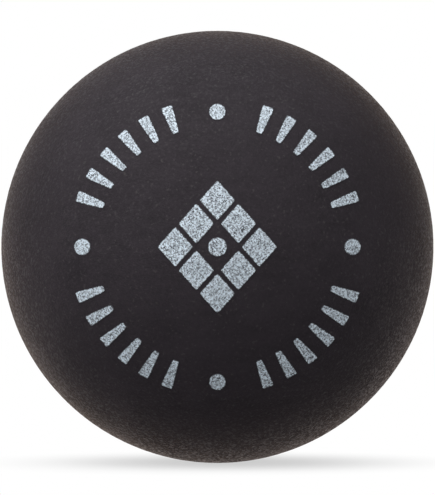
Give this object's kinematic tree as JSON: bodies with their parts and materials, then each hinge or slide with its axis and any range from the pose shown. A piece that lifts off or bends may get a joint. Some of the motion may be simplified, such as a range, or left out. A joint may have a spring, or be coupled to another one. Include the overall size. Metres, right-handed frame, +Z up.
{
  "type": "squash ball",
  "caption": "Hollow matt black rubber squash ball of bonded half shells, with a pale printed ring of ticks round a lozenge mark on the front and a yellow speed dot on the rear.",
  "frame": {"origin": "centre of the ball", "axes": "+Z up, -Y out of the printed front, +Y out of the speed dot on the rear; the joint between the half shells lies in the plane Y = 0"},
  "size_m": [0.04, 0.0402, 0.04],
  "materials": {
    "rubber": "matt, buffed to a fine grain",
    "adhesive": "matt, cured rubber solution",
    "print_ink": "matt pad-printing ink, speckled where the grain shows through",
    "spot_ink": "matt yellow ink"
  },
  "bodies": {
    "root": {"front_shell": "rubber", "rear_shell": "rubber", "seam_adhesive": "adhesive", "ring_print": "print_ink", "centre_print": "print_ink", "speed_dot": "spot_ink"}
  },
  "joints": []
}
